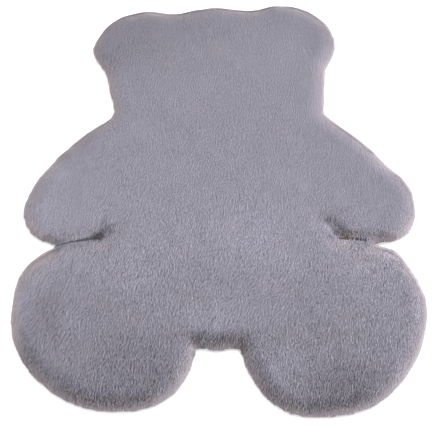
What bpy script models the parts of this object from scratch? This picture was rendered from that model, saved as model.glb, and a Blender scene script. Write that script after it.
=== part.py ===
"""A bear shaped plush floor rug, lying flat with its head towards +Y and its underside at z = 0."""

import math
from collections import namedtuple

import bmesh
import bpy
from mathutils import Vector
from mathutils.geometry import interpolate_bezier

# Driving dimensions, in metres.
MM = 0.001
EDGE_ROLL = 0.008  # radius of the lower edge, and so the height of the rug's widest line
EDGE_WIDTH = 0.038  # from the widest line in to where the padding has its full height
PAD_HEIGHT = 0.0255  # full height of the padding, without its swells
EDGE_RINGS = (0.014, 0.023, 0.038)  # rows of points on the shoulder, measured in from the widest line
TOP_GRID = 0.038  # spacing of the points that carry the padding's soft swells

# How finely the outline is read from its curve.
LONGEST_STEP = 0.024
SHARPEST_BEND = 14.0  # degrees between two steps
EDGE_ROUNDS = 2  # extra rows of faces on each quarter of the edge roll
WELD = 0.00005  # points closer than this are one point

# The outline at the widest line of the edge roll, clockwise from above. heading_deg is the way it
# runs there: 0 is towards +X, 90 towards the crown of the head.
Landmark = namedtuple("Landmark", "name x_mm y_mm heading_deg")
HEAD_AND_RIGHT_EAR = (
    Landmark("crown", 0, 609, -2),
    Landmark("right_ear_dip", 90, 600, 0),
    Landmark("right_ear_top", 175, 620, 0),
    Landmark("right_ear_shoulder", 297, 563, -46),
    Landmark("right_ear_side", 330, 477, -90),
    Landmark("right_ear_lobe", 305, 397, -120),
    Landmark("right_ear_root", 294, 372, -91),
    Landmark("right_neck", 284, 235, -90),
)
RIGHT_ARM = (
    Landmark("right_neck_bend", 295, 212, -45),
    Landmark("right_upper_arm", 411, 98, -52),
    Landmark("right_elbow", 466, 30, -45),
    Landmark("right_paw_side", 500, -69, -93),
    Landmark("right_paw_corner", 478, -141, -125),
    Landmark("right_slit_mouth_arm", 415, -173, -178),
    Landmark("right_slit_arm", 348, -165, 177),
    Landmark("right_pocket_bend", 306, -155, 155),
    Landmark("right_pocket_arm", 284, -131, 112),
)
RIGHT_LEG = (
    Landmark("right_slit_tip", 271, -104, 180),
    Landmark("right_slit_body", 277, -138, -74),
    Landmark("right_pocket_leg", 304, -166, -12),
    Landmark("right_slit_leg", 345, -170, -5),
    Landmark("right_slit_mouth_leg", 395, -180, -15),
    Landmark("right_hip", 447, -208, -50),
    Landmark("right_knee", 478, -265, -64),
    Landmark("right_calf", 499, -343, -90),
    Landmark("right_foot_side", 470, -460, -114),
    Landmark("right_foot_corner", 393, -565, -138),
    Landmark("right_foot_base", 230, -620, 180),
    Landmark("right_foot_toe", 161, -613, 155),
    Landmark("right_foot_inside", 116, -584, 137),
    Landmark("right_leg_inside", 79, -536, 118),
    Landmark("right_crotch_side", 53, -473, 100),
)
LEFT_LEG = (
    Landmark("right_crotch_corner", 42, -456, 180),
    Landmark("crotch", -15, -462, 180),
    Landmark("left_crotch_corner", -50, -455, 170),
    Landmark("left_crotch_side", -60, -465, -95),
    Landmark("left_foot_inside", -106, -564, -132),
    Landmark("left_foot_base", -240, -609, 180),
    Landmark("left_foot_corner", -386, -563, 144),
    Landmark("left_foot_side", -475, -464, 116),
    Landmark("left_calf", -500, -343, 90),
    Landmark("left_knee", -493, -270, 75),
    Landmark("left_hip", -454, -217, 42),
)
LEFT_ARM = (
    Landmark("left_slit_mouth_leg", -412, -187, 32),
    Landmark("left_slit_leg", -380, -177, 8),
    Landmark("left_pocket_leg", -302, -167, 8),
    Landmark("left_slit_body", -274, -140, 84),
    Landmark("left_slit_tip", -279, -129, 163),
    Landmark("left_pocket_arm", -287, -133, -122),
    Landmark("left_pocket_bend", -309, -155, -148),
    Landmark("left_slit_arm", -380, -172, -174),
    Landmark("left_slit_mouth_arm", -427, -176, 170),
    Landmark("left_paw_corner", -484, -133, 120),
    Landmark("left_paw_side", -500, -83, 90),
    Landmark("left_wrist", -474, 8, 67),
    Landmark("left_elbow", -436, 69, 55),
    Landmark("left_shoulder", -336, 177, 40),
)
LEFT_EAR = (
    Landmark("left_neck", -286, 234, 92),
    Landmark("left_cheek", -307, 327, 98),
    Landmark("left_ear_root", -319, 373, 118),
    Landmark("left_ear_side", -359, 455, 88),
    Landmark("left_ear_bend", -344, 504, 63),
    Landmark("left_ear_shoulder", -298, 566, 36),
    Landmark("left_ear_top", -205, 596, 3),
    Landmark("left_ear_dip", -133, 587, 0),
    Landmark("brow", -76, 601, 12),
)
OUTLINE = HEAD_AND_RIGHT_EAR + RIGHT_ARM + RIGHT_LEG + LEFT_LEG + LEFT_ARM + LEFT_EAR

# Soft swells (height above zero) and hollows (below it) of the padding. Each fades out over its
# half length and half width. turn_deg is the way its length runs: 0 is along X.
Swell = namedtuple("Swell", "name x_mm y_mm half_length_mm half_width_mm turn_deg height_mm")
SWELLS = (
    Swell("belly", 0, -123, 330, 230, 90, 2.0),
    Swell("head", 0, 427, 260, 180, 0, 1.5),
    Swell("right_ear", 240, 527, 95, 75, -40, 1.2),
    Swell("left_ear", -270, 507, 95, 75, 50, 0.8),
    Swell("right_arm", 400, -63, 160, 80, -65, 1.5),
    Swell("left_arm", -400, -63, 160, 80, 65, 1.2),
    Swell("right_thigh", 250, -423, 190, 150, 80, 2.0),
    Swell("left_thigh", -230, -433, 190, 150, 100, 1.8),
    Swell("right_armpit_hollow", 268, -73, 90, 26, 100, -3.0),
    Swell("left_armpit_hollow", -274, -78, 80, 24, 85, -2.6),
    Swell("crotch_hollow", 0, -398, 80, 40, 90, -2.6),
    Swell("left_knee_hollow", -398, -333, 130, 34, 85, -2.2),
    Swell("right_ear_hollow", 185, 467, 120, 30, -35, -1.0),
    Swell("left_ear_hollow", -205, 467, 120, 32, 40, -1.2),
)

PLUSH_COLOUR = (0.300, 0.288, 0.345, 1.0)
PLUSH_ROUGHNESS = 0.95


def clear_scene():
    """Empty the scene of the objects that a new file starts with."""
    for thing in list(bpy.data.objects):
        bpy.data.objects.remove(thing, do_unlink=True)


def heading(landmark):
    """The unit vector along which the outline runs at a landmark."""
    angle = math.radians(landmark.heading_deg)
    return Vector((math.cos(angle), math.sin(angle), 0.0))


def turn_between(here, there):
    """The angle, in degrees, by which the outline turns from one landmark to the next."""
    turn = (there.heading_deg - here.heading_deg + 180.0) % 360.0 - 180.0
    return abs(turn)


def stretch_points(here, there):
    """Points along one stretch, which is a round arc wherever its two ends allow one."""
    start = Vector((here.x_mm, here.y_mm, 0.0)) * MM
    end = Vector((there.x_mm, there.y_mm, 0.0)) * MM
    chord = (end - start).length
    turn = turn_between(here, there)
    handle = chord / (3.0 * math.cos(math.radians(turn) / 4.0) ** 2)
    steps = max(1, math.ceil(chord / LONGEST_STEP), math.ceil(turn / SHARPEST_BEND))
    start_handle = start + heading(here) * handle
    end_handle = end - heading(there) * handle
    return interpolate_bezier(start, start_handle, end_handle, end, steps + 1)[:-1]


def outline_points():
    """The whole closed outline."""
    points = []
    for here, there in zip(OUTLINE, OUTLINE[1:] + OUTLINE[:1]):
        points.extend(stretch_points(here, there))
    return points


def rolled_slab(name):
    """A flat curve filled on both sides, whose bevel is the rounded edge, as a mesh centred on z = 0."""
    curve = bpy.data.curves.new(name, "CURVE")
    curve.dimensions = "2D"
    curve.fill_mode = "BOTH"
    curve.offset = -EDGE_ROLL
    curve.bevel_depth = EDGE_ROLL
    curve.bevel_resolution = EDGE_ROUNDS
    points = outline_points()
    spline = curve.splines.new("POLY")
    spline.points.add(len(points) - 1)
    for knot, place in zip(spline.points, points):
        knot.co = (place.x, place.y, 0.0, 1.0)
    spline.use_cyclic_u = True
    slab = bpy.data.objects.new(name, curve)
    bpy.context.scene.collection.objects.link(slab)
    bpy.context.view_layer.update()
    seen = slab.evaluated_get(bpy.context.evaluated_depsgraph_get())
    mesh = bpy.data.meshes.new_from_object(seen)
    bpy.data.objects.remove(slab)
    return mesh


def edge_height(inset):
    """Height of the rounded upper edge at a distance in from the widest line."""
    away = 1.0 - inset / EDGE_WIDTH
    return EDGE_ROLL + (PAD_HEIGHT - EDGE_ROLL) * math.sqrt(1.0 - away * away)


def round_the_roll(bm):
    """Draw the upper half of the slab's even roll up into the taller, wider upper edge."""
    for vert in bm.verts:
        rise = min(vert.co.z - EDGE_ROLL, EDGE_ROLL)
        if rise > WELD:
            vert.co.z = edge_height(EDGE_ROLL - math.sqrt(EDGE_ROLL * EDGE_ROLL - rise * rise))


def add_shoulder(bm):
    """Inset the level top in rings, each lifted to its height on the rounded edge."""
    start = EDGE_ROLL
    bmesh.ops.dissolve_faces(bm, faces=faces_at(bm, edge_height(start)))
    for ring in EDGE_RINGS:
        top = faces_at(bm, edge_height(start))
        lift = edge_height(ring) - edge_height(start)
        bmesh.ops.inset_region(bm, faces=top, thickness=ring - start, depth=lift, use_even_offset=True)
        start = ring


def swell_height(x, y):
    """How far the padding stands above its plain top at a place."""
    height = 0.0
    for swell in SWELLS:
        turn = math.radians(swell.turn_deg)
        along_x = x - swell.x_mm * MM
        along_y = y - swell.y_mm * MM
        along = (along_x * math.cos(turn) + along_y * math.sin(turn)) / (swell.half_length_mm * MM)
        across = (along_y * math.cos(turn) - along_x * math.sin(turn)) / (swell.half_width_mm * MM)
        height += swell.height_mm * MM * math.exp(-(along * along + across * across))
    return height


def is_level(element, height):
    """Whether a face or an edge lies level at a height."""
    return all(abs(vert.co.z - height) < WELD for vert in element.verts)


def faces_at(bm, height):
    """The faces that lie level at a height."""
    return [face for face in bm.faces if is_level(face, height)]


def edges_at(bm, height):
    """The edges that lie level at a height."""
    return [edge for edge in bm.edges if is_level(edge, height)]


def grid_lines(low, high):
    """Evenly spaced places between two bounds, close to TOP_GRID apart."""
    count = round((high - low) / TOP_GRID)
    return [low + (high - low) * step / count for step in range(1, count)]


def cut_top_into_grid(bm, height):
    """Cut the level top along lines in X and in Y, so that it has points to shape."""
    for axis in (Vector((1.0, 0.0, 0.0)), Vector((0.0, 1.0, 0.0))):
        reach = [vert.co.dot(axis) for vert in bm.verts]
        for place in grid_lines(min(reach), max(reach)):
            level = faces_at(bm, height) + edges_at(bm, height)
            bmesh.ops.bisect_plane(bm, geom=level, dist=WELD, plane_co=axis * place, plane_no=axis)


def pad_the_top(mesh):
    """Stand the slab on z = 0, round its upper edge, and give the padding its swells."""
    bm = bmesh.new()
    bm.from_mesh(mesh)
    bmesh.ops.remove_doubles(bm, verts=bm.verts, dist=WELD)
    bmesh.ops.translate(bm, verts=bm.verts, vec=(0.0, 0.0, EDGE_ROLL))
    round_the_roll(bm)
    add_shoulder(bm)
    cut_top_into_grid(bm, PAD_HEIGHT)
    bmesh.ops.triangulate(bm, faces=faces_at(bm, PAD_HEIGHT))
    for vert in bm.verts:
        if vert.co.z > PAD_HEIGHT - WELD:
            vert.co.z += swell_height(vert.co.x, vert.co.y)
    bmesh.ops.recalc_face_normals(bm, faces=bm.faces)
    bm.to_mesh(mesh)
    bm.free()


def plush_material():
    """Short grey pile: quite rough, with no shine of its own."""
    material = bpy.data.materials.new("grey_plush")
    material.use_nodes = True
    shader = material.node_tree.nodes["Principled BSDF"]
    shader.inputs["Base Color"].default_value = PLUSH_COLOUR
    shader.inputs["Roughness"].default_value = PLUSH_ROUGHNESS
    shader.inputs["Metallic"].default_value = 0.0
    return material


def build_plush_pad(collection):
    """The one piece of the rug: padded plush, flat underneath, rounded over at its edge."""
    mesh = rolled_slab("plush_pad")
    pad_the_top(mesh)
    mesh.materials.clear()
    mesh.materials.append(plush_material())
    mesh.shade_smooth()
    pad = bpy.data.objects.new("plush_pad", mesh)
    collection.objects.link(pad)
    return pad


def build_rug():
    """Build the rug in a collection of its own."""
    clear_scene()
    collection = bpy.data.collections.new("bear_rug")
    bpy.context.scene.collection.children.link(collection)
    build_plush_pad(collection)


build_rug()
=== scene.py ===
# %% [markdown]
# # A bear shaped plush rug
#
# The real rug is one padded piece of short grey faux fur, cut to the outline of a teddy bear and
# lying flat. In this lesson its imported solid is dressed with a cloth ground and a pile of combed
# locks. Lengths are in metres, or in millimetres where a name says so. +Z is up, and the head
# points to +Y.

# %% Load the frame
import math
from collections import namedtuple

import bmesh
import bpy
import numpy as np
from mathutils import Matrix, Vector
from mathutils.kdtree import KDTree


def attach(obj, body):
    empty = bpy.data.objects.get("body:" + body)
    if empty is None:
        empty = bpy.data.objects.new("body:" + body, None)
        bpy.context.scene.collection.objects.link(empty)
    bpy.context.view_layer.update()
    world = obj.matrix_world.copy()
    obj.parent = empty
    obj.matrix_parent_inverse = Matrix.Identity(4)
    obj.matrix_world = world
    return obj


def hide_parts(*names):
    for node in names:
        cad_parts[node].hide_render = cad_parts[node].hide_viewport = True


MM = 0.001
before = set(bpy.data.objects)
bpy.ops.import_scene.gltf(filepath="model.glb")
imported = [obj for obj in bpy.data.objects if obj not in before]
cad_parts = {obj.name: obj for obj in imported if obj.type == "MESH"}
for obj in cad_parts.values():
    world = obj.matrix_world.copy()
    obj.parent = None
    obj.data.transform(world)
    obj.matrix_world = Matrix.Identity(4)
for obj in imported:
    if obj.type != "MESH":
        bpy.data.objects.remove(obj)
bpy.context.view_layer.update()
pad_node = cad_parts["plush_pad"]

# %% [markdown]
# ## The camera
#
# The photograph looks down on the rug from its feet, about 60 degrees above the floor: the legs
# come out larger than the head. A photograph 433 pixels wide with a focal length of 900 pixels
# is a long lens, so the perspective is gentle. The camera's height and distance are the ones
# that make a rug 1 m wide fill the picture.

# %% Set the camera
PHOTO_WIDTH_PX = 433
FOCAL_PX = 900.0
LOOK_DOWN_DEG = 60.0
CAMERA_PLACE = Vector((-0.0074, -1.2443, 1.9998))
SENSOR_WIDTH_MM = 36.0
NEAREST_SEEN, FURTHEST_SEEN = 0.05, 50.0

camera_data = bpy.data.cameras.new("photo_camera")
camera_data.sensor_width = SENSOR_WIDTH_MM
camera_data.lens = SENSOR_WIDTH_MM * FOCAL_PX / PHOTO_WIDTH_PX
camera_data.clip_start = NEAREST_SEEN
camera_data.clip_end = FURTHEST_SEEN
camera = bpy.data.objects.new("photo_camera", camera_data)
camera.location = CAMERA_PLACE
camera.rotation_euler = (math.radians(90.0 - LOOK_DOWN_DEG), 0.0, 0.0)
bpy.context.scene.collection.objects.link(camera)
bpy.context.scene.camera = camera
print("camera lens", round(camera_data.lens, 2), "mm at", tuple(CAMERA_PLACE))

# %% [markdown]
# ## Floor and light
#
# Plain studio light: a white surround, and one wide soft lamp far beyond the head, a little to
# the right. That lamp, together with painted shade on the locks, is why the edges of the feet and
# of the crotch, which face the camera, are the darkest parts of the rug, while its sides stay
# light, with painted light on them too. A sun lamp with a wide angle gives the same light over all
# of the rug. The floor is nearly white, so that it lifts the lowest part of the rounded edge, with
# painted light on the locks there as well. The plain "Standard" view keeps white white, and a
# pixel filter a little narrower than usual keeps the fine pile as crisp as it is in the photograph.

# %% Lay the floor and hang the light
FLOOR_HALF_SIZE = 6.0
FLOOR_DROP = 0.2 * MM
FLOOR_COLOUR = (0.95, 0.95, 0.95, 1.0)
FLOOR_CLOUDS_PER_M = 3.0
FLOOR_SLEEKEST, FLOOR_ROUGHEST = 0.75, 0.9
SURROUND_STRENGTH = 1.42
LAMP_STRENGTH = 2.8
LAMP_ANGLE_DEG = 50.0
LAMP_FROM = Vector((0.45, 1.0, 0.95))
WHITE = (1.0, 1.0, 1.0, 1.0)
PIXEL_FILTER_WIDTH = 0.9


def flat_square(name, half_size, height):
    """A level square, centred on the origin."""
    mesh = bpy.data.meshes.new(name)
    corners = [(-1, -1), (1, -1), (1, 1), (-1, 1)]
    mesh.from_pydata([(x * half_size, y * half_size, height) for x, y in corners], [], [(0, 1, 2, 3)])
    square = bpy.data.objects.new(name, mesh)
    bpy.context.scene.collection.objects.link(square)
    return square


def floor_material():
    """Matt pale paint, very slightly uneven."""
    material = bpy.data.materials.new("pale_floor")
    material.use_nodes = True
    nodes, links = material.node_tree.nodes, material.node_tree.links
    shader = nodes["Principled BSDF"]
    shader.inputs["Base Color"].default_value = FLOOR_COLOUR
    cloudy = nodes.new("ShaderNodeTexNoise")
    cloudy.inputs["Scale"].default_value = FLOOR_CLOUDS_PER_M
    roughness = nodes.new("ShaderNodeMapRange")
    roughness.inputs["To Min"].default_value = FLOOR_SLEEKEST
    roughness.inputs["To Max"].default_value = FLOOR_ROUGHEST
    links.new(cloudy.outputs["Fac"], roughness.inputs["Value"])
    links.new(roughness.outputs["Result"], shader.inputs["Roughness"])
    return material


floor = flat_square("studio_floor", FLOOR_HALF_SIZE, -FLOOR_DROP)
floor.data.materials.append(floor_material())

world = bpy.data.worlds.new("white_surround")
world.use_nodes = True
surround = world.node_tree.nodes["Background"]
surround.inputs["Color"].default_value = WHITE
surround.inputs["Strength"].default_value = SURROUND_STRENGTH
bpy.context.scene.world = world

lamp_data = bpy.data.lights.new("soft_lamp", "SUN")
lamp_data.angle = math.radians(LAMP_ANGLE_DEG)
lamp_data.energy = LAMP_STRENGTH
lamp = bpy.data.objects.new("soft_lamp", lamp_data)
lamp.rotation_euler = LAMP_FROM.to_track_quat("Z", "Y").to_euler()
bpy.context.scene.collection.objects.link(lamp)
bpy.context.scene.view_settings.view_transform = "Standard"
bpy.context.scene.cycles.filter_width = PIXEL_FILTER_WIDTH
print("lamp", LAMP_STRENGTH, "from", LAMP_FROM[:], "surround", SURROUND_STRENGTH)

# %% [markdown]
# ## Soft unevenness
#
# Nothing on a plush rug is quite even: its padding swells, its locks lean this way and that, and
# its nap is patchy; some patches in the pile's tone are painted light and painted shade. The
# unevenness comes from two helpers. One adds up a few gentle waves of about one wavelength, and a
# seed makes them the same on each run. The other adds up soft patches, each placed where the
# photograph shows one. Noise textures could do the first, but the locks need both as plain
# numbers. Both take whole arrays of places at once, so they stay quick for nearly half a million
# locks.

# %% Helpers for soft waves and soft patches
WAVES = 10
SHORTEST_WAVE, LONGEST_WAVE = 0.7, 1.4
WAVE_HEIGHT = 0.6
Patch = namedtuple("Patch", "x_mm y_mm half_length_mm half_width_mm turn_deg amount")


def soft_waves(places, wavelength, seed):
    """Smooth unevenness at each place, about 1 wavelength across, mostly between -1 and 1."""
    rng = np.random.default_rng(seed)
    ways = rng.normal(size=(WAVES, 3))
    ways /= np.linalg.norm(ways, axis=1)[:, None]
    turns = 2.0 * math.pi * rng.uniform(SHORTEST_WAVE, LONGEST_WAVE, WAVES) / wavelength
    starts = rng.uniform(0.0, 2.0 * math.pi, WAVES)
    waves = np.cos(places @ (ways * turns[:, None]).T + starts)
    return waves.sum(axis=1) / math.sqrt(WAVES / 2.0) * WAVE_HEIGHT


def patched(places, patches):
    """The sum of soft patches at each place. Each fades out over its half length and width."""
    total = np.zeros(len(places))
    for patch in patches:
        turn = math.radians(patch.turn_deg)
        off_x, off_y = places[:, 0] - patch.x_mm * MM, places[:, 1] - patch.y_mm * MM
        along = (off_x * math.cos(turn) + off_y * math.sin(turn)) / (patch.half_length_mm * MM)
        across = (off_y * math.cos(turn) - off_x * math.sin(turn)) / (patch.half_width_mm * MM)
        total += patch.amount * np.exp(-(along ** 2 + across ** 2))
    return total


print("soft waves ready,", WAVES, "waves each, and patches of", len(Patch._fields), "numbers")

# %% [markdown]
# ## Where the edge is
#
# Much on this rug depends on its edge: the pile hangs over it, and the shade changes along it.
# It could be traced again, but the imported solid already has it, so its widest line is read from
# there, as points with the way each faces. For any place the nearest of them then says how far in
# it lies and which way its edge faces. A first cell holds the small helpers for arrays.

# %% Helpers for meshes as arrays
def mesh_arrays(mesh):
    """A mesh's points and their normals as arrays."""
    points = np.empty(len(mesh.vertices) * 3, np.float32)
    mesh.vertices.foreach_get("co", points)
    normals = np.empty(len(mesh.vertices) * 3, np.float32)
    mesh.vertex_normals.foreach_get("vector", normals)
    return points.reshape(-1, 3).astype(float), normals.reshape(-1, 3).astype(float)


def settled(piece):
    """Apply all modifiers of a piece, so that its mesh is what shows."""
    seen = piece.evaluated_get(bpy.context.evaluated_depsgraph_get())
    mesh = bpy.data.meshes.new_from_object(seen)
    piece.modifiers.clear()
    piece.data = mesh
    return mesh


def unit(vectors):
    """The same directions with length 1."""
    return vectors / np.maximum(np.linalg.norm(vectors, axis=1), 1e-9)[:, None]


def smooth_step(values, start, end):
    """0 before start, 1 after end, and a soft rise between."""
    share = np.clip((values - start) / (end - start), 0.0, 1.0)
    return share * share * (3.0 - 2.0 * share)


print("helpers for meshes ready")

# %% Read the widest line of the edge
WELD = 0.05 * MM
RIM_TILT = 0.25
RIM_STEP = 2.0 * MM


def read_rim(mesh):
    """Points all along the widest line, seen from above, and the way each of them faces."""
    points, normals = mesh_arrays(mesh)
    ends = np.empty(len(mesh.edges) * 2, np.int32)
    mesh.edges.foreach_get("vertices", ends)
    ends = ends.reshape(-1, 2)
    ends = ends[(np.abs(normals[:, 2]) < RIM_TILT)[ends].all(1)]
    (start, end), (face, next_face) = (values[ends.T, :2] for values in (points, normals))
    steps = int(np.ceil(np.linalg.norm(end - start, axis=1).max() / RIM_STEP))
    share = np.linspace(0.0, 1.0, steps, endpoint=False)[:, None, None]
    places = (start + share * (end - start)).reshape(-1, 2)
    return places, unit((face + share * (next_face - face)).reshape(-1, 2))


def edge_reading(places):
    """For each place: its distance from the rim seen from above, and the way the rim faces there."""
    found = [rim_tree.find((x, y, 0.0)) for x, y in places[:, :2]]
    nearest = np.array([index for _, index, _ in found])
    away = np.array([distance for _, _, distance in found])
    return np.column_stack([away, rim_facing[nearest]])


pad_copy = bpy.data.objects.new("pad_copy", pad_node.data.copy())
bpy.context.scene.collection.objects.link(pad_copy)
pad_copy.modifiers.new("weld", "WELD").merge_threshold = WELD
pad_mesh = settled(pad_copy)
rim_places, rim_facing = read_rim(pad_mesh)
rim_tree = KDTree(len(rim_places))
for index, (x, y) in enumerate(rim_places):
    rim_tree.insert((x, y, 0.0), index)
rim_tree.balance()
print("rim:", len(rim_places), "points")

# %% [markdown]
# ## Where the slits are
#
# Two slits part the arms from the legs. On the real rug the pads touch along them, and only a thin
# dark seam shows. Each is given as a line of a few points along that seam, and a helper says
# how near any place is to one.

# %% Draw the slits
SLIT_LINES_MM = (
    ((-389, -177), (-380, -175), (-321, -166), (-288, -150), (-277, -126)),
    ((364, -170), (347, -168), (305, -160), (281, -134), (273, -108)),
)


def slit_distance(places, lines_mm):
    """How far each place is from the nearest of these lines, seen from above."""
    nearest = np.full(len(places), np.inf)
    for line in lines_mm:
        line = np.array(line) * MM
        for start, end in zip(line, line[1:]):
            way, offset = end - start, places[:, :2] - start
            along = np.clip(offset @ way / (way ** 2).sum(), 0.0, 1.0)
            away = np.linalg.norm(offset - along[:, None] * way, axis=1)
            nearest = np.minimum(nearest, away)
    return nearest


print("slits:", len(SLIT_LINES_MM), "lines of", len(SLIT_LINES_MM[0]), "points")

# %% [markdown]
# ## The cloth ground
#
# Under the pile lies a knitted ground stretched over foam. It could be drawn again from the
# outline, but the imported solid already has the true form, so a copy of it is drawn in by the
# depth of the pile. That depth isn't the same all round. On the sides that face the photograph's
# camera the locks hang clear of the ground, and on the far sides they lie on it, so the depth
# changes with the way the side faces, and a few patches of it bring the edge to where the
# photograph has it. At the slits the two sides are pushed together instead, over a low strip of
# cloth that joins them, because the real rug's pads touch there.

# %% Draw the ground in
TOP_DEPTH, SIDE_DEPTH = 6.5 * MM, -1.8 * MM
DEPTH_TO_RIGHT, DEPTH_TO_HEAD = -0.8 * MM, -2.8 * MM
DEPTH_AT_ENDS = 2.2 * MM
DEPTH_PATCHES = (
    Patch(-430, -168, 50, 28, 0, 3.8),
    Patch(425, -168, 50, 28, 0, 3.6),
    Patch(-3, -478, 80, 45, 0, 2.2),
    Patch(-52, -466, 20, 25, 0, 1.8),
    Patch(46, -466, 20, 25, 0, 1.5),
    Patch(100, -550, 40, 50, 0, 1.1),
    Patch(500, -85, 40, 50, 0, -1.3),
    Patch(425, 80, 70, 45, -45, 1.6),
    Patch(354, 161, 50, 40, -45, -1.6),
    Patch(-445, -208, 30, 25, 0, -1.6),
    Patch(430, -200, 20, 20, 0, -1.6),
    Patch(495, -330, 40, 60, 0, 1.3),
    Patch(-498, -300, 40, 45, 0, 1.5),
    Patch(-495, -420, 40, 60, 0, -1.4),
    Patch(-490, -30, 60, 45, 0, -1.8),
    Patch(262, 592, 45, 40, 0, -2.4),
    Patch(300, -612, 60, 30, 0, -1.6),
)
SLIT_FULL, SLIT_END = 7.0 * MM, 20.0 * MM
SLIT_PUSH = 4.0 * MM
STRIP_HALF_WIDTH, STRIP_HEIGHT = 8.0 * MM, 10.0 * MM


def drawn_in(mesh):
    """Move the top and the sides inwards by the pile's depth, and close the slits."""
    points, normals = mesh_arrays(mesh)
    slit = 1.0 - smooth_step(slit_distance(points, SLIT_LINES_MM), SLIT_FULL, SLIT_END)
    side = SIDE_DEPTH + normals[:, :2] @ np.array([DEPTH_TO_RIGHT, DEPTH_TO_HEAD])
    side += DEPTH_AT_ENDS * normals[:, 1] ** 2
    side += patched(points, DEPTH_PATCHES) * MM
    depth = side + (TOP_DEPTH - side) * np.clip(normals[:, 2], 0.0, 1.0) ** 2
    out = SLIT_PUSH * slit - depth * (1.0 - slit)
    move = normals * out[:, None]
    move[:, 2] *= np.clip(points[:, 2] / (2.0 * TOP_DEPTH), 0.0, 1.0)
    mesh.vertices.foreach_set("co", (points + move).ravel())
    mesh.update()


def with_strips(mesh):
    """Add the strip of cloth along the bottom of each slit, as a row of low boxes."""
    bm = bmesh.new()
    bm.from_mesh(mesh)
    for line in SLIT_LINES_MM:
        for start, end in zip(line, line[1:]):
            start, end = Vector(start) * MM, Vector(end) * MM
            way, lift = end - start, Vector((0.0, 0.0, STRIP_HEIGHT / 2.0))
            middle = Matrix.Translation(((start + end) / 2.0).to_3d() + lift)
            turn = Matrix.Rotation(math.atan2(way.y, way.x), 4, "Z")
            size = (way.length + STRIP_HALF_WIDTH, 2.0 * STRIP_HALF_WIDTH, STRIP_HEIGHT, 1.0)
            bmesh.ops.create_cube(bm, size=1.0, matrix=middle @ turn @ Matrix.Diagonal(size))
    bm.to_mesh(mesh)
    bm.free()


drawn_in(pad_mesh)
with_strips(pad_mesh)
print("drawn in, with strips:", len(pad_mesh.polygons), "faces")

# %% [markdown]
# ## Filling the ground
#
# The drawn-in copy is remeshed into small even faces, with its underside on the floor. Then a
# cloth simulation blows the pad up a little, as its stuffing does, and the cloth gets its low
# lumps. A plain displacement along the normals would swell it all alike, while cloth stays tight
# in the notches and rounds out between them. How far a point may move is capped, so that the pile
# stays inside the rug's true size.

# %% Fill the ground
GROUND_FACE = 7.0 * MM
SMOOTH_ROUNDS, SMOOTH_SHARE = 4, 0.5
CLOTH_FRAMES = 12
CLOTH_PRESSURE = 4.0
SWELL_CAP = 2.0 * MM
PINNED_BELOW = 2.0 * MM
GROUND_LUMP = 0.5 * MM
GROUND_LUMP_WIDTH = 80.0 * MM


def blown_up(piece):
    """Let a cloth simulation fill the pad; no point moves further than the cap."""
    before, _ = mesh_arrays(piece.data)
    pinned = piece.vertex_groups.new(name="on_the_floor")
    pinned.add(np.flatnonzero(before[:, 2] < PINNED_BELOW).tolist(), 1.0, "REPLACE")
    cloth = piece.modifiers.new("stuffing", "CLOTH")
    cloth.settings.use_pressure = True
    cloth.settings.uniform_pressure_force = CLOTH_PRESSURE
    cloth.settings.effector_weights.gravity = 0.0
    cloth.settings.vertex_group_mass = "on_the_floor"
    for step in range(1, CLOTH_FRAMES + 1):
        bpy.context.scene.frame_set(step)
    mesh = settled(piece)
    after, _ = mesh_arrays(mesh)
    move = after - before
    far = np.maximum(np.linalg.norm(move, axis=1), 1e-9)
    move *= (SWELL_CAP * np.tanh(far / SWELL_CAP) / far)[:, None]
    mesh.vertices.foreach_set("co", (before + move).ravel())
    bpy.context.scene.frame_set(1)
    piece.vertex_groups.clear()
    return far


def make_ground():
    """The cloth ground over its padding."""
    pad_copy.name = "plush_ground"
    remesh = pad_copy.modifiers.new("even_faces", "REMESH")
    remesh.mode = "VOXEL"
    remesh.voxel_size = GROUND_FACE
    smooth = pad_copy.modifiers.new("smooth", "SMOOTH")
    smooth.iterations = SMOOTH_ROUNDS
    smooth.factor = SMOOTH_SHARE
    settled(pad_copy)
    print("the cloth moved", round(blown_up(pad_copy).mean() / MM, 1), "mm before its cap")
    points, normals = mesh_arrays(pad_copy.data)
    lumps = GROUND_LUMP * soft_waves(points, GROUND_LUMP_WIDTH, seed=3)
    points += normals * (lumps * np.clip(points[:, 2] / TOP_DEPTH, 0.0, 1.0))[:, None]
    points[:, 2] = np.maximum(points[:, 2], 0.0)
    pad_copy.data.vertices.foreach_set("co", points.ravel())
    pad_copy.data.update()
    pad_copy.data.shade_smooth()
    return pad_copy


ground = make_ground()
ground_top = max(point.co.z for point in ground.data.vertices)
print("ground:", len(ground.data.polygons), "faces, top at", round(ground_top / MM, 1), "mm")

# %% [markdown]
# ## Which way the pile lies
#
# The pile is combed towards the feet and a little to the left. Where the rug's edge turns down to
# the floor the locks hang over it, whichever side it is on. On the far sides these two ways cancel
# out somewhere on the rounding, and there the pile parts, as hair does. The parting has to be
# known before anything grows, because it needs more locks than the rest.

# %% Lay the comb over the edge
COMB_DEG = -11.0
HANG_FROM, HANG_FULL = 0.45, 0.95
COMB_LOST, HANG_PULL = 0.7, 1.2
PARTING_WIDTH = 1.5


def comb_way(turn_deg):
    """The level way that the comb goes, turned from straight towards the feet."""
    turn = np.radians(turn_deg)
    return np.stack([np.sin(turn), -np.cos(turn), np.zeros(len(turn))], 1)


def laid_down(comb, normals):
    """The comb's way laid along the surface, and how far the locks part there, from 0 to 1."""
    steep = np.sqrt(np.clip(1.0 - normals[:, 2] ** 2, 0.0, 1.0))
    hang = smooth_step(steep, HANG_FROM, HANG_FULL)
    lean = comb * (1.0 - COMB_LOST * hang)[:, None]
    lean[:, 2] -= HANG_PULL * hang
    lean -= normals * (lean * normals).sum(1)[:, None]
    return lean, np.clip(PARTING_WIDTH * (1.0 - np.linalg.norm(lean, axis=1)), 0.0, 1.0)


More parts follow.
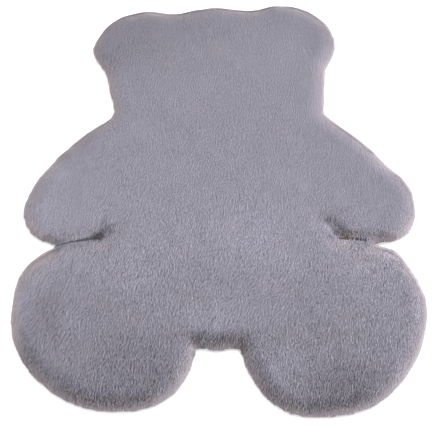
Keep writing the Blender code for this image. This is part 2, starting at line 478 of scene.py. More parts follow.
sloping = unit(np.array([[0.0, math.sin(tilt), math.cos(tilt)] for tilt in np.radians([0, 30, 45, 60, 90])]))
print("parting on a far side sloping 0, 30, 45, 60 and 90 degrees:",
      laid_down(comb_way(np.full(len(sloping), COMB_DEG)), sloping)[1].round(2))

# %% [markdown]
# ## Where the pile grows
#
# Real faux fur has thousands of hairs to a square centimetre. From this far off they read as
# locks about 1 mm wide, and so one bent, pointed blade stands for one lock. Blender's hair curves
# could draw them, but plain faces are also there in the exported meshes, so the locks are joined
# meshes made from arrays. Their roots are spread over the ground by area: the faces are laid end
# to end in a row as long as their total area, and a root is set at each even step. Faces at a
# parting count for several times their area, so that no bare ground shows there.

# %% Spread the roots
LOCKS = 440_000
LOWEST_ROOT = 1.2 * MM
STEEPEST_UNDERCUT = -0.35
CLOSER_AT_PARTING = 5.0


def corner_numbers(mesh):
    """The three corner numbers of each triangle."""
    mesh.calc_loop_triangles()
    corners = np.empty(len(mesh.loop_triangles) * 3, np.int32)
    mesh.loop_triangles.foreach_get("vertices", corners)
    return corners.reshape(-1, 3)


def spread_roots(mesh, count, rng):
    """Roots on all of the ground that shows: places, normals, edge readings and the area used."""
    points, normals = mesh_arrays(mesh)
    corners = corner_numbers(mesh)
    a, b, c = (points[corners[:, k]] for k in range(3))
    across = np.cross(b - a, c - a)
    area = np.linalg.norm(across, axis=1) / 2.0
    facing = across[:, 2] / np.maximum(2.0 * area, 1e-12)
    middle = (a + b + c)[:, 2] / 3.0
    area *= (facing > STEEPEST_UNDERCUT) & (middle > LOWEST_ROOT)
    _, parted = laid_down(comb_way(np.full(len(area), COMB_DEG)), unit(across))
    area *= 1.0 + CLOSER_AT_PARTING * parted
    along = np.cumsum(area)
    steps = (np.arange(count) + rng.uniform(0.0, 1.0, count)) * along[-1] / count
    chosen = corners[np.minimum(np.searchsorted(along, steps), len(area) - 1)]
    first = np.sqrt(rng.uniform(0.0, 1.0, count))
    second = rng.uniform(0.0, 1.0, count)
    share = np.stack([1.0 - first, first * (1.0 - second), first * second], 1)[:, :, None]
    places, upright, edges = ((values[chosen] * share).sum(1)
                              for values in (points, normals, edge_reading(points)))
    return places, unit(upright), edges, along[-1]


lock_rng = np.random.default_rng(11)
roots, root_normals, root_edges, ground_area = spread_roots(ground.data, LOCKS, lock_rng)
edge_away, edge_x, edge_y = root_edges.T
print("roots:", len(roots), "on", round(ground_area, 3), "square metres, partings counted more than once")

# %% [markdown]
# ## Combing
#
# A hand has left gentle swirls in the pile: it leans further left above the right thigh and on the
# outside of the left leg. Each lock leans along the comb's direction, laid onto the surface where
# it grows, with a little stray of its own. At a parting the locks are tangled: most of them lie
# along the rim, to one side or the other, and so they cross and cover it.

# %% Comb the locks
SWIRL_DEG, SWIRL_WIDTH = 5.0, 150.0 * MM
RUFFLE_DEG, RUFFLE_WIDTH = 6.0, 20.0 * MM
STRAY_DEG = 9.0
PARTING_TANGLE, PARTING_FLARE = 2.2, 0.2
LEANING_PATCHES = (
    Patch(95, -330, 130, 70, 0, -22),
    Patch(-430, -330, 150, 70, 90, -16),
    Patch(300, -420, 160, 110, 60, -8),
)


def combed(places, normals, rng):
    """The way each lock leans, along the surface, and how far the pile parts there."""
    turn = COMB_DEG + patched(places, LEANING_PATCHES)
    turn += SWIRL_DEG * soft_waves(places, SWIRL_WIDTH, seed=21)
    turn += RUFFLE_DEG * soft_waves(places, RUFFLE_WIDTH, seed=22)
    turn += STRAY_DEG * rng.normal(size=len(places))
    lean, parted = laid_down(comb_way(turn), normals)
    level = unit(np.stack([-normals[:, 1], normals[:, 0], np.zeros(len(normals))], 1))
    lean += (PARTING_TANGLE * parted * rng.normal(size=len(places)))[:, None] * level
    lean += PARTING_FLARE * parted[:, None] * rng.normal(size=lean.shape)
    lean -= normals * (lean * normals).sum(1)[:, None]
    return unit(lean), parted


leans, parted = combed(roots, root_normals, lock_rng)
print("mean lean", leans.mean(0).round(2), "and", int((parted > 0.5).sum()), "locks at a parting")

# %% [markdown]
# ## Clumps
#
# Locks stick together in small clumps, which gives plush its fine streaks. The skin of the rug is
# rolled out flat, one seed is set in each cell of a grid on it, and each tip belongs to the
# nearest seed, measured so that clumps are long along the comb and slim across it. A clump has a
# tone as well. Random tones would now and then put several pale clumps side by side, which reads
# as blotches, so each is taken less the mean around it, and neighbours differ.

# %% Gather the clumps
SEED_SPACING = 2.9 * MM
CLUMP_WIDTH, CLUMP_LENGTH = 1.4 * MM, 6.0 * MM
CELLS_AROUND = 2
ROLLED_FROM, ROLLED_FULL = 55.0 * MM, 30.0 * MM
PILE_TOP = 27.0 * MM


def rolled_out(places, ways):
    """Places and ways on the skin, with its edge rolled out flat, as two numbers each."""
    rolled = 1.0 - smooth_step(edge_away, ROLLED_FULL, ROLLED_FROM)
    outwards = np.stack([edge_x, edge_y], 1) * rolled[:, None]
    flat = places[:, :2] + outwards * (PILE_TOP - places[:, 2:])
    return flat, unit(ways[:, :2] - outwards * ways[:, 2:])


def unlike_neighbours(grid):
    """Each value of a grid less the mean of the nine around it, so that neighbours differ."""
    steps = (-1, 0, 1)
    near = sum(np.roll(grid, (step_x, step_y), (0, 1)) for step_x in steps for step_y in steps)
    grid = grid - near / 9.0
    return grid / grid.std()


def clumps_of(tips, leans, rng):
    """The number and the tone of the clump that each tip sticks to. Clumps run along the comb."""
    flat, way = rolled_out(tips, leans)
    cell = np.floor(flat / SEED_SPACING).astype(np.int64)
    cell -= cell.min(0) - CELLS_AROUND
    wide, deep = cell.max(0) + CELLS_AROUND + 1
    jitter = rng.uniform(0.0, 1.0, (wide, deep, 2))
    tone = unlike_neighbours(rng.normal(size=(wide, deep)))
    inside = flat / SEED_SPACING - np.floor(flat / SEED_SPACING)
    nearest = np.full(len(tips), np.inf)
    clump = np.zeros(len(tips), np.int64)
    steps = range(-CELLS_AROUND, CELLS_AROUND + 1)
    for step_x in steps:
        for step_y in steps:
            column, row = cell[:, 0] + step_x, cell[:, 1] + step_y
            away = (jitter[column, row] + (step_x, step_y) - inside) * SEED_SPACING
            along = (away * way).sum(1) / CLUMP_LENGTH
            across = (away[:, 0] * way[:, 1] - away[:, 1] * way[:, 0]) / CLUMP_WIDTH
            distance = along ** 2 + across ** 2
            closer = distance < nearest
            nearest[closer] = distance[closer]
            clump[closer] = (column * deep + row)[closer]
    return np.unique(clump, return_inverse=True)[1], tone.ravel()[clump]


def off_middle(tips, side, clump):
    """How far each tip is from its clump's middle, along the lock's own side."""
    held = np.bincount(clump)
    middles = np.stack([np.bincount(clump, tips[:, axis]) / held for axis in range(3)], 1)
    return ((tips - middles[clump]) * side).sum(1)


print("clumps about", CLUMP_LENGTH / MM, "by", CLUMP_WIDTH / MM, "mm, at", SEED_SPACING / MM, "mm steps")

# %% [markdown]
# ## Shaping the locks
#
# A lock is a slim leaf: it rises from a single point, is widest where it bends over, and ends in
# a point. Its tip is drawn part of the way towards the middle of its clump. Every lock is shaded
# mostly as the rug's skin is, with a little of its own facing, because real fibres are far too
# fine to show sides of their own.

# %% Shape the locks
LOCK_LENGTH = 9.0 * MM
LENGTH_SPREAD, MOST_SPREAD = 0.12, 2.0
LOCK_WIDTH = 1.1 * MM
SLIMMEST, WIDEST = 0.75, 1.25
RISE_DEG, RISE_SPREAD_DEG = 42.0, 5.0
BEND_TO_DEG, BEND_SPREAD_DEG = 10.0, 6.0
RISE_AT_PARTING_DEG, BEND_AT_PARTING_DEG = -14.0, 4.0
TWIST_DEG = 12.0
CLUMP_PULL = 0.45
SKIN_SHARE = 0.80
FLOOR_GAP = 0.3 * MM


def own_facing(side, along, normals):
    """The way a flat piece of lock faces, on the skin's outer side."""
    face = unit(np.cross(side, along))
    return face * np.sign((face * normals).sum(1))[:, None]


def shape_locks(places, normals, leans, parted, rng):
    """The four points of each lock: the root, two at the bend, and the tip."""
    count = len(places)
    longer = LENGTH_SPREAD * rng.normal(size=count).clip(-MOST_SPREAD, MOST_SPREAD)
    half = LOCK_LENGTH / 2.0 * (1.0 + longer)[:, None]
    rise = RISE_DEG + RISE_SPREAD_DEG * rng.normal(size=count) + RISE_AT_PARTING_DEG * parted
    flat = BEND_TO_DEG + BEND_SPREAD_DEG * rng.normal(size=count) + BEND_AT_PARTING_DEG * parted
    rise, flat = np.radians(rise)[:, None], np.radians(flat)[:, None]
    bends = places + half * (normals * np.sin(rise) + leans * np.cos(rise))
    tips = bends + half * (normals * np.sin(flat) + leans * np.cos(flat))
    clump, clump_tone = clumps_of(tips, leans, rng)
    side = np.cross(normals, leans)
    off = off_middle(tips, side, clump)
    tips -= CLUMP_PULL * off[:, None] * side
    bends -= 0.5 * CLUMP_PULL * off[:, None] * side
    twist = np.radians(TWIST_DEG) * rng.normal(size=count)[:, None]
    side = side * np.cos(twist) + normals * np.sin(twist)
    width = LOCK_WIDTH * rng.uniform(SLIMMEST, WIDEST, count)[:, None] / 2.0
    points = np.stack([places, bends - side * width, bends + side * width, tips], 1)
    points[:, 1:, 2] = np.maximum(points[:, 1:, 2], FLOOR_GAP)
    facings = [own_facing(side, end - start, normals)
               for start, end in ((places, bends), (places, tips), (places, tips), (bends, tips))]
    shading = [unit(SKIN_SHARE * normals + (1.0 - SKIN_SHARE) * facing) for facing in facings]
    return points, np.stack(shading, 1), clump, clump_tone, np.abs(off)


made = shape_locks(roots, root_normals, leans, parted, lock_rng)
locks, lock_normals, lock_clump, clump_tone, lock_off = made
print("locks reach", locks.reshape(-1, 3).max(0).round(4), "in", lock_clump.max() + 1, "clumps")
print("mean distance from the clump's middle", round(lock_off.mean() / MM, 2), "mm")

# %% [markdown]
# ## Lock tones
#
# Dyed fur is never one colour, and plush shades where its nap is brushed against the light. Each
# lock gets a shade and a warmth: a little of its own, a little that its clump shares, and broad
# patches that hold painted light and painted shade as well as the nap's own unevenness. These are
# listed first, in millimetres: where each patch lies, how far it reaches, how it is turned, and
# how much lighter or warmer it makes the pile. Near the slits they paint shadow into the pocket on
# the left and shade under the arm on the right, with painted light on the lit rims beside them,
# and the thin dark seam itself is a line of painted shadow of its own.

# %% List the patches of nap, painted light and painted shade
GRAIN_PATCHES = (
    Patch(-400, -20, 130, 130, 0, -0.45),
    Patch(400, -20, 130, 130, 0, -0.40),
    Patch(-400, -380, 120, 160, 0, -0.20),
)
NAP_AND_PAINTED_LIGHT_PATCHES = (
    # broad patches: painted light and painted shade over the rug, together with the nap's own unevenness
    Patch(0, -560, 800, 260, 0, -0.24),
    Patch(-255, 480, 100, 110, 40, -0.15),
    Patch(-300, 410, 45, 40, 0, -0.14),
    Patch(-245, 585, 80, 20, 5, 0.10),
    Patch(300, 480, 40, 60, 0, -0.09),
    Patch(-110, 545, 150, 70, 0, -0.08),
    Patch(150, 420, 160, 90, 0, 0.07),
    Patch(250, 240, 60, 60, 0, 0.07),
    Patch(-430, 40, 50, 30, -50, 0.16),
    Patch(415, 70, 70, 35, -45, 0.18),
    Patch(190, 20, 40, 70, 0, 0.06),
    Patch(-445, -80, 60, 40, 0, 0.09),
    Patch(90, -165, 110, 50, 0, 0.10),
    Patch(-430, -245, 50, 35, 60, 0.19),
    Patch(365, -245, 60, 30, 0, 0.16),
    Patch(-70, -280, 90, 60, 0, -0.06),
    Patch(-410, -360, 110, 46, 88, -0.17),
    Patch(-290, -350, 40, 40, 0, -0.07),
    Patch(-480, -370, 90, 20, 90, 0.20),
    Patch(485, -345, 60, 22, 90, 0.12),
    Patch(240, -340, 110, 70, 80, -0.07),
    Patch(-200, -530, 170, 90, 0, -0.17),
    Patch(-400, -535, 60, 26, -40, 0.14),
    Patch(-240, -420, 130, 90, 0, -0.05),
    Patch(-10, -385, 110, 36, 0, 0.12),
    Patch(-5, -426, 85, 17, 0, -0.16),
    Patch(-112, -548, 30, 45, 30, -0.14),
    Patch(150, -515, 50, 60, 0, 0.12),
    Patch(300, -550, 110, 60, 0, -0.27),
    Patch(310, -602, 50, 16, 5, 0.16),
    # painted shadow in the left pocket, along the seams and under the arms, and painted light on the rims
    # beside them
    Patch(-304, -156, 16, 12, 20, -0.78),
    Patch(-292, -125, 32, 9, 80, -0.14),
    Patch(-285, -150, 8, 16, 0, 0.20),
    Patch(-350, -150, 60, 10, 10, -0.10),
    Patch(-316, -163, 28, 5, 8, -0.55),
    Patch(-388, -178, 30, 6, 10, 0.22),
    Patch(310, -137, 36, 13, -51, -0.60),
    Patch(352, -150, 46, 11, -6, -0.42),
    Patch(276, -138, 32, 9, -51, 0.60),
    Patch(317, -174, 26, 9, -5, 0.42),
)
SEAM_LINES_MM = (
    ((-410, -183), (-386, -177), (-354, -172), (-321, -166), (-295, -164)),
    ((366, -168), (333, -164), (300, -163)),
)
WARM_PATCHES = (
    Patch(320, -158, 24, 10, 0, 1.0),
    Patch(310, -185, 22, 12, 0, 0.30),
    Patch(-292, -184, 16, 10, 0, 0.35),
    Patch(-283, -158, 9, 14, 0, 0.25),
    Patch(360, -225, 40, 25, 0, 0.10),
    Patch(-435, -230, 50, 25, 40, 0.12),
)
print(len(NAP_AND_PAINTED_LIGHT_PATCHES), "patches of shade,", len(WARM_PATCHES), "of warmth,", len(GRAIN_PATCHES), "of grain")

# %% [markdown]
# ## The tone of each lock
#
# The rest follows from the edge. Where the edge facing the feet turns over, away from the lamp, a
# band of painted shade darkens the pile. Below it, all along the rim, and on the edges towards the
# lamp, the pile is painted paler and warmer, as painted light from the lamp and the floor, except
# low down on the far side, where painted shade tones it down. All of it is kept as numbers on the
# locks for the material, in even steps.

# %% Paint light and shade along the edges
# painted shade: a dark band above the edges that face the feet, away from the lamp
BAND_AWAY, BAND_WIDTH, BAND_PAINTED_SHADE = 26.0 * MM, 18.0 * MM, -0.30
BAND_WAY = np.array([-0.42, -0.91])
BAND_LEAST, BAND_MOST = 0.35, 0.95
BAND_FROM, BAND_FULL = 200.0 * MM, 380.0 * MM
# painted light: a paler pile on edges towards the lamp, along the rim, and on the low wall lit by the floor
PALE_WAY = np.array([0.95, 0.30])
PALE_LEAST, PALE_MOST = -0.1, 0.6
PALE_REACH, PALE_PAINTED_LIGHT = 44.0 * MM, 0.56
FRINGE_REACH, FRINGE_PAINTED_LIGHT = 9.0 * MM, 0.10
WALL_FROM, WALL_TO, WALL_PAINTED_LIGHT = 4.0 * MM, 24.0 * MM, 0.36
WALL_LEAST, WALL_MOST = -0.8, 0.0
# painted light on locks at a parting on the far side
PARTING_PAINTED_LIGHT = 0.80
# painted shade low on the far side, where the lamp shines, and less painted warmth there
BACK_LEAST, BACK_MOST = 0.1, 0.7
BACK_TOP, BACK_LOW = 12.0 * MM, 7.0 * MM
BACK_PAINTED_SHADE, BACK_WARMTH = -0.50, -0.12


def painted_shade_band(places):
    """How far each place lies in the band of painted shade above the edges that face the feet."""
    facing = np.stack([edge_x, edge_y], 1) @ BAND_WAY
    band = smooth_step(facing, BAND_LEAST, BAND_MOST) * smooth_step(-places[:, 1], BAND_FROM, BAND_FULL)
    return band * np.exp(-((edge_away - BAND_AWAY) / BAND_WIDTH) ** 2)


def painted_edge_light():
    """How much painted light makes the pile paler near the edge: towards the lamp, at the rim and on the low
    wall.
    """
    facing = np.stack([edge_x, edge_y], 1) @ PALE_WAY
    pale = PALE_PAINTED_LIGHT * smooth_step(facing, PALE_LEAST, PALE_MOST)
    pale *= np.clip(1.0 - edge_away / PALE_REACH, 0.0, 1.0)
    fringe = FRINGE_PAINTED_LIGHT * (1.0 - smooth_step(edge_away, 0.0, FRINGE_REACH))
    wall = np.clip(-edge_y, 0.0, 1.0) * smooth_step(edge_x, WALL_LEAST, WALL_MOST)
    wall *= 1.0 - smooth_step(edge_away, WALL_FROM, WALL_TO)
    return pale + fringe + WALL_PAINTED_LIGHT * wall


def low_at_back(places):
    """How far each place is low down on the far side, where the lamp shines on it."""
    return smooth_step(edge_y, BACK_LEAST, BACK_MOST) * smooth_step(-places[:, 2], -BACK_TOP, -BACK_LOW)


print("pale edge: up to", painted_edge_light().max().round(2), "and dark band: up to", painted_shade_band(roots).max().round(2))

# %% Give each lock its tone
TONE_STEPS = 64
WARMTH_STEPS = 16
DARKEST, PALEST = 0.15, 1.90
SHADE_OF_LOCK = 0.10
SHADE_OF_CLUMP = 0.21
# painted shade in the gaps between clumps
PAINTED_SHADE_BETWEEN = -0.44
BETWEEN_FROM, BETWEEN_FULL = 0.3 * MM, 0.9 * MM
SHADE_WAVES_MM = ((0.022, 18, 41), (0.024, 36, 42), (0.022, 75, 43))
GRAIN_LOW, GRAIN_HIGH = 0.96, 1.24
GRAIN_FROM, GRAIN_TO = -400.0 * MM, 200.0 * MM
RIM_FROM, RIM_TO, RIM_GRAIN = 7.0 * MM, 23.0 * MM, 0.5
FREE_FROM, FREE_FULL = 18.0 * MM, 48.0 * MM
# painted shadow along the seams
SLIT_DARK_FULL, SLIT_DARK_END, SEAM_PAINTED_SHADOW = 1.2 * MM, 4.5 * MM, -0.85
SLIT_RAGGED = 1.2 * MM
WARMTH, WARMTH_OF_LOCK = 0.094, 0.02
WARMTH_WAVE, WARMTH_WAVE_WIDTH = 0.02, 120.0 * MM
# painted light: warmer pile near the rim
WARM_FROM, WARM_TO, WARM_RIM_PAINTED_LIGHT = 7.0 * MM, 34.0 * MM, 0.31
WARM_SHIFT = 7.0 * MM
WARM_TO_LEFT = 0.06


def stepped(values, steps):
    """Values from 0 to 1, rounded to the middle of one of a number of steps."""
    return (np.floor(np.clip(values, 0.0, 0.9999) * steps) + 0.5) / steps


def lock_grain(places, free):
    """How strongly each place shows its grain: most at the feet, least along the edge."""
    grain = GRAIN_LOW + (GRAIN_HIGH - GRAIN_LOW) * (1.0 - smooth_step(places[:, 1], GRAIN_FROM, GRAIN_TO))
    grain += patched(places, GRAIN_PATCHES)
    return grain * (1.0 - (1.0 - RIM_GRAIN) * free * (1.0 - smooth_step(edge_away, RIM_FROM, RIM_TO)))


def lock_tones(places, parted, clump_tone, off, rng):
    """Tone and warmth of each lock, from 0 to 1, with painted light and shade in both."""
    inner_ends = [line[1:] for line in SLIT_LINES_MM]
    free = smooth_step(slit_distance(places, inner_ends), FREE_FROM, FREE_FULL)
    between = smooth_step(off, BETWEEN_FROM, BETWEEN_FULL)
    shade = SHADE_OF_LOCK * rng.normal(size=len(places))
    shade += SHADE_OF_CLUMP * clump_tone
    # painted shade in the gaps between clumps, where little light gets down
    shade += PAINTED_SHADE_BETWEEN * (between - between.mean())
    shade = 1.0 + lock_grain(places, free) * shade
    for amount, width_mm, seed in SHADE_WAVES_MM:
        shade += amount * soft_waves(places, width_mm * MM, seed)
    # painted light and shade: the broad patches, the band above the edges facing the feet, and the pale edge
    shade += patched(places, NAP_AND_PAINTED_LIGHT_PATCHES) + BAND_PAINTED_SHADE * painted_shade_band(places) + painted_edge_light() * free
    # painted shadow along the seams where the pads meet
    ragged = slit_distance(places, SEAM_LINES_MM) + SLIT_RAGGED * clump_tone
    shade += SEAM_PAINTED_SHADOW * (1.0 - smooth_step(ragged, SLIT_DARK_FULL, SLIT_DARK_END))
    # painted light on the locks at a parting on the far side
    shade += PARTING_PAINTED_LIGHT * parted * free * np.clip(edge_y, 0.0, 1.0)
    # painted shade, and less warmth, low down on the far side
    back = low_at_back(places) * free
    shade += BACK_PAINTED_SHADE * back
    # painted light: the pile near the rim is warmer, as if lit by the floor
    low = 1.0 - smooth_step(edge_away - WARM_SHIFT * np.abs(edge_y), WARM_FROM, WARM_TO)
    warm = WARMTH + WARMTH_OF_LOCK * rng.normal(size=len(places))
    warm += WARMTH_WAVE * soft_waves(places, WARMTH_WAVE_WIDTH, seed=44)
    warm += (WARM_RIM_PAINTED_LIGHT - WARM_TO_LEFT * edge_x) * low * free + patched(places, WARM_PATCHES)
    warm += BACK_WARMTH * back
    return stepped((shade - DARKEST) / (PALEST - DARKEST), TONE_STEPS), stepped(warm, WARMTH_STEPS)


tones, warmths = lock_tones(roots, parted, clump_tone, lock_off, lock_rng)
print("mean tone", tones.mean().round(3), "and mean warmth", warmths.mean().round(3))

# %% [markdown]
# ## Joining the locks into pieces
#
# Nearly half a million separate objects would stop Blender, so the locks are joined into a few
# pieces, one for each part of the rug. Each mesh is filled from arrays in one go. The pieces also
# get a map for baking: locks of one tone and warmth share one small tile, its height running from
# root to tip, so that the colours can be kept exactly in a small image.

# %% Join the pile
TILE_MARGIN = 0.15
HEAD_ABOVE = 0.335
LEGS_BELOW = -0.222
CHEST_ABOVE = 0.03
LEGS_MEET_BELOW = -0.36
BODY_HALF_WIDTH = 0.235
LOCK_FACES = np.array([[0, 1, 2], [1, 3, 2]])
ALONG = np.array([0.0, 0.5, 0.5, 1.0])
ACROSS = np.array([0.5, 0.0, 1.0, 0.5])
POINTS = len(ALONG)


def tile_places(tones, warmths):
    """Where each lock's points lie on the baking map."""
    column = np.floor(tones * TONE_STEPS)
    row = np.floor(warmths * WARMTH_STEPS)
    across = TILE_MARGIN + (1.0 - 2.0 * TILE_MARGIN) * ACROSS
    along = TILE_MARGIN + (1.0 - 2.0 * TILE_MARGIN) * ALONG
    u = (column[:, None] + across[None, :]) / TONE_STEPS
    v = (row[:, None] + along[None, :]) / WARMTH_STEPS
    return np.stack([u, v], 2)


def pile_piece(name, chosen):
    """One mesh of the chosen locks, with their tones on its points."""
    points = locks[chosen].reshape(-1, 3)
    count = len(points) // POINTS
    faces = (LOCK_FACES[None] + POINTS * np.arange(count)[:, None, None]).reshape(-1, 3)
    mesh = bpy.data.meshes.new(name)
    mesh.vertices.add(len(points))
    mesh.vertices.foreach_set("co", points.ravel())
    mesh.loops.add(faces.size)
    mesh.loops.foreach_set("vertex_index", faces.ravel().astype(np.int32))
    mesh.polygons.add(len(faces))
    mesh.polygons.foreach_set("loop_start", np.arange(0, faces.size, 3, dtype=np.int32))
    mesh.update(calc_edges=True)
    # lock_tone holds painted light and shade along with each lock's own tone, and lock_warmth the painted
    # warm light at the rim
    kept = {"lock_tone": np.repeat(tones[chosen], POINTS),
            "lock_warmth": np.repeat(warmths[chosen], POINTS),
            "lock_along": np.tile(ALONG, count)}
    for label, values in kept.items():
        mesh.attributes.new(label, "FLOAT", "POINT").data.foreach_set("value", values)
    places = tile_places(tones[chosen], warmths[chosen]).reshape(-1, 2)
    mesh.uv_layers.new(name="OFBake").uv.foreach_set("vector", places[faces.ravel()].ravel())
    mesh.shade_smooth()
    mesh.normals_split_custom_set_from_vertices(lock_normals[chosen].reshape(-1, 3))
    piece = bpy.data.objects.new(name, mesh)
    bpy.context.scene.collection.objects.link(piece)
    return piece


def rug_parts(places):
    """Which locks grow on each part of the rug."""
    x, y = places[:, 0], places[:, 1]
    head = y > HEAD_ABOVE
    legs = (y < LEGS_BELOW) & ((np.abs(x) > BODY_HALF_WIDTH) | (y < LEGS_MEET_BELOW))
    arms = ~head & ~legs & (np.abs(x) > BODY_HALF_WIDTH)
    body = ~head & ~legs & ~arms
    return {"pile_head": head, "pile_arms": arms,
            "pile_chest": body & (y > CHEST_ABOVE), "pile_belly": body & (y <= CHEST_ABOVE),
            "pile_left_leg": legs & (x < 0.0), "pile_right_leg": legs & (x >= 0.0)}


pile = [pile_piece(name, chosen) for name, chosen in rug_parts(roots).items()]
for piece in pile:
    print(piece.name, len(piece.data.polygons), "faces")

# %% [markdown]
# ## Shared effects for the two fur materials
#
# The ground and the locks are dyed alike, so what makes dyed fur uneven is built once, as a node
# group: broad patches and a fine grain, both from noise in the rug's own space. A second group
# turns the grain into roughness. Each material places them with its own values.

# %% Build the node groups
PATCH_DETAIL, GRAIN_DETAIL = 3.0, 2.0
GRAIN_BOTTOM, GRAIN_PEAK = 0.3, 0.7


def new_group(name, inputs, outputs):
    """An empty shader node group, with its input and output nodes."""
    group = bpy.data.node_groups.new(name, "ShaderNodeTree")
    for label, value in inputs.items():
        socket = group.interface.new_socket(label, in_out="INPUT", socket_type="NodeSocketFloat")
        socket.default_value = value
    for label in outputs:
        group.interface.new_socket(label, in_out="OUTPUT", socket_type="NodeSocketFloat")
    return group, group.nodes.new("NodeGroupInput"), group.nodes.new("NodeGroupOutput")


def place_group(tree, group, **values):
    """A group placed in a material with its own values."""
    node = tree.nodes.new("ShaderNodeGroup")
    node.node_tree = group
    for label, value in values.items():
        node.inputs[label.replace("_", " ")].default_value = value
    return node


def noise(tree, coordinates, scale, detail):
    """A noise texture read at these coordinates. The scale is a socket or a number."""
    node = tree.nodes.new("ShaderNodeTexNoise")
    node.inputs["Detail"].default_value = detail
    tree.links.new(coordinates, node.inputs["Vector"])
    if isinstance(scale, float):
        node.inputs["Scale"].default_value = scale
    else:
        tree.links.new(scale, node.inputs["Scale"])
    return node.outputs["Fac"]


def ranged(tree, value, low, high, start=0.0, end=1.0):
    """A value from start to end, mapped to the range from low to high."""
    node = tree.nodes.new("ShaderNodeMapRange")
    tree.links.new(value, node.inputs["Value"])
    for label, amount in (("From Min", start), ("From Max", end), ("To Min", low), ("To Max", high)):
        if isinstance(amount, float):
            node.inputs[label].default_value = amount
        else:
            tree.links.new(amount, node.inputs[label])
    return node.outputs["Result"]


def maths(tree, operation, first, second):
    """One sum on two sockets or numbers."""
    node = tree.nodes.new("ShaderNodeMath")
    node.operation = operation
    for socket, value in zip(node.inputs, (first, second)):
        if isinstance(value, float):
            socket.default_value = value
        else:
            tree.links.new(value, socket)
    return node.outputs["Value"]


def mottle_group():
    """Broad patches and fine grain of dyed fur: Shade is about 1, Grain runs from 0 to 1."""
    inputs = {"Patch Scale": 14.0, "Grain Scale": 450.0, "Depth": 0.1}
    group, given, put_out = new_group("dyed_fur_mottle", inputs, ["Shade", "Grain"])
    place = group.nodes.new("ShaderNodeTexCoord").outputs["Object"]
    patches = noise(group, place, given.outputs["Patch Scale"], PATCH_DETAIL)
    grain = noise(group, place, given.outputs["Grain Scale"], GRAIN_DETAIL)
    both = maths(group, "ADD", patches, grain)
    swing = maths(group, "MULTIPLY", maths(group, "SUBTRACT", both, 1.0), given.outputs["Depth"])
    shade = maths(group, "ADD", swing, 1.0)
    group.links.new(shade, put_out.inputs["Shade"])
    group.links.new(grain, put_out.inputs["Grain"])
    return group


def matt_group():
    """Roughness of fur, a little uneven with the grain."""
    inputs = {"Grain": 0.5, "Sleekest": 0.7, "Roughest": 0.95}
    group, given, put_out = new_group("fur_roughness", inputs, ["Roughness"])
    rough = ranged(group, given.outputs["Grain"], given.outputs["Sleekest"],
                   given.outputs["Roughest"], GRAIN_BOTTOM, GRAIN_PEAK)
    group.links.new(rough, put_out.inputs["Roughness"])
    return group


mottle = mottle_group()
matt = matt_group()
print("node groups:", [group.name for group in bpy.data.node_groups])

# %% [markdown]
# ## The pile's material
#
# The fur is a soft grey with a little violet in it. A lock has painted shade at the root, where it
# stands in the shade of its neighbours, and painted light at the tip, where light passes through
# its ends. A lock that turns its back to the eye is seen with the light behind it, and fine fibres
# glow then, so its colour is painted paler, as painted light. Sheen gives the soft light of fine
# fibres seen at a low angle.

# %% Make the pile's material
COOL_GREY = (0.255, 0.251, 0.311, 1.0)
WARM_GREY = (0.335, 0.262, 0.236, 1.0)
# painted shade at the root, painted light at the tip and on locks seen from behind
ROOT_SHADE = 0.82
TIP_SHADE = 1.10
LIT_THROUGH = 2.8
PILE_PATCHES_PER_M, PILE_GRAIN_PER_M = 11.0, 500.0
PILE_MOTTLE = 0.06
PILE_SLEEKEST, PILE_ROUGHEST = 0.7, 0.95
PILE_SHEEN = 0.25
PILE_SHEEN_ROUGHNESS = 0.5
FUR_SPECULAR = 0.2
STRAND_BUMP, STRAND_DEPTH = 0.35, 0.4 * MM


def read_number(tree, label):
    """The socket of a number kept on the mesh."""
    node = tree.nodes.new("ShaderNodeAttribute")
    node.attribute_name = label
    return node.outputs["Fac"]


def blended(tree, share, first, second, way="MIX"):
    """A mix of two colours, each a socket or a constant."""
    node = tree.nodes.new("ShaderNodeMix")
    node.data_type = "RGBA"
    node.blend_type = way
    for socket, value in ((node.inputs[0], share), (node.inputs[6], first), (node.inputs[7], second)):
        if isinstance(value, (float, tuple)):
            socket.default_value = value
        else:
            tree.links.new(value, socket)
    return node.outputs[2]


def new_material(name, sheen, sheen_roughness):
    """A matt material with sheen: its tree and its shader."""
    material = bpy.data.materials.new(name)
    material.use_nodes = True
    shader = material.node_tree.nodes["Principled BSDF"]
    shader.inputs["Sheen Weight"].default_value = sheen
    shader.inputs["Sheen Roughness"].default_value = sheen_roughness
    shader.inputs["Specular IOR Level"].default_value = FUR_SPECULAR
    return material, material.node_tree, shader


def bumped(tree, height, strength, distance, shader):
    """Feed a height through a bump into the shader."""
    bump = tree.nodes.new("ShaderNodeBump")
    bump.inputs["Strength"].default_value = strength
    bump.inputs["Distance"].default_value = distance
    tree.links.new(height, bump.inputs["Height"])
    tree.links.new(bump.outputs["Normal"], shader.inputs["Normal"])


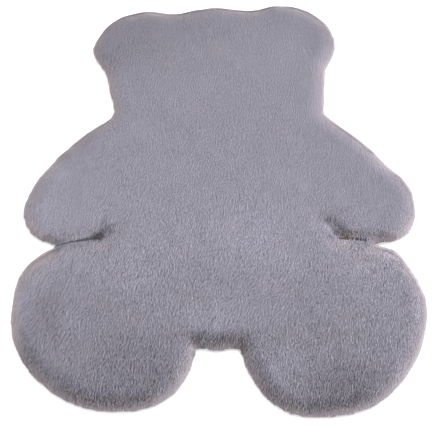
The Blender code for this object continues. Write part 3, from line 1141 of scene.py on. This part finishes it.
def pile_material():
    """Dyed fur locks, with painted shade at the root and painted light at the tip."""
    material, tree, shader = new_material("grey_plush_pile", PILE_SHEEN, PILE_SHEEN_ROUGHNESS)
    uneven = place_group(tree, mottle, Patch_Scale=PILE_PATCHES_PER_M,
                         Grain_Scale=PILE_GRAIN_PER_M, Depth=PILE_MOTTLE)
    even = place_group(tree, matt, Sleekest=PILE_SLEEKEST, Roughest=PILE_ROUGHEST)
    tree.links.new(uneven.outputs["Grain"], even.inputs["Grain"])
    tree.links.new(even.outputs["Roughness"], shader.inputs["Roughness"])
    # the dye, warmer near the rim where painted warm light lies
    dye = blended(tree, read_number(tree, "lock_warmth"), COOL_GREY, WARM_GREY)
    tone = ranged(tree, read_number(tree, "lock_tone"), DARKEST, PALEST)
    # painted shade at the root and painted light at the tip
    depth = ranged(tree, read_number(tree, "lock_along"), ROOT_SHADE, TIP_SHADE)
    light = maths(tree, "MULTIPLY", maths(tree, "MULTIPLY", tone, depth), uneven.outputs["Shade"])
    # painted light on locks seen from behind
    behind = tree.nodes.new("ShaderNodeNewGeometry").outputs["Backfacing"]
    light = maths(tree, "MULTIPLY", light, ranged(tree, behind, 1.0, LIT_THROUGH))
    tree.links.new(blended(tree, 1.0, dye, light, "MULTIPLY"), shader.inputs["Base Color"])
    bumped(tree, uneven.outputs["Grain"], STRAND_BUMP, STRAND_DEPTH, shader)
    return material


fur = pile_material()
for piece in pile:
    piece.data.materials.append(fur)
print("pile material on", len(pile), "pieces")

# %% [markdown]
# ## The ground's material
#
# The knitted ground shows only as depth between the locks. It has the same dye, darker because
# little light gets down to it, and the small cells of a knit as bump.

# %% Make the ground's material
GROUND_GREY = (0.190, 0.181, 0.219, 1.0)
GROUND_PATCHES_PER_M, GROUND_GRAIN_PER_M = 11.0, 300.0
GROUND_MOTTLE = 0.3
GROUND_SLEEKEST, GROUND_ROUGHEST = 0.85, 1.0
GROUND_SHEEN = 0.2
GROUND_SHEEN_ROUGHNESS = 0.6
KNIT_CELLS_PER_M = 600.0
KNIT_BUMP, KNIT_DEPTH = 0.6, 0.5 * MM


def ground_material():
    """Dark knitted ground under the pile."""
    material, tree, shader = new_material("grey_plush_ground", GROUND_SHEEN, GROUND_SHEEN_ROUGHNESS)
    uneven = place_group(tree, mottle, Patch_Scale=GROUND_PATCHES_PER_M,
                         Grain_Scale=GROUND_GRAIN_PER_M, Depth=GROUND_MOTTLE)
    even = place_group(tree, matt, Sleekest=GROUND_SLEEKEST, Roughest=GROUND_ROUGHEST)
    tree.links.new(uneven.outputs["Grain"], even.inputs["Grain"])
    tree.links.new(even.outputs["Roughness"], shader.inputs["Roughness"])
    shaded = blended(tree, 1.0, GROUND_GREY, uneven.outputs["Shade"], "MULTIPLY")
    tree.links.new(shaded, shader.inputs["Base Color"])
    knit = tree.nodes.new("ShaderNodeTexVoronoi")
    knit.inputs["Scale"].default_value = KNIT_CELLS_PER_M
    tree.links.new(tree.nodes.new("ShaderNodeTexCoord").outputs["Object"], knit.inputs["Vector"])
    bumped(tree, knit.outputs["Distance"], KNIT_BUMP, KNIT_DEPTH, shader)
    return material


ground.data.materials.clear()
ground.data.materials.append(ground_material())
print("ground material:", ground.data.materials[0].name)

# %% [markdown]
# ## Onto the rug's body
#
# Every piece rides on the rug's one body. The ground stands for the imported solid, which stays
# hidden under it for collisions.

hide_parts("plush_pad")
for piece in [ground, *pile]:
    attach(piece, "root")
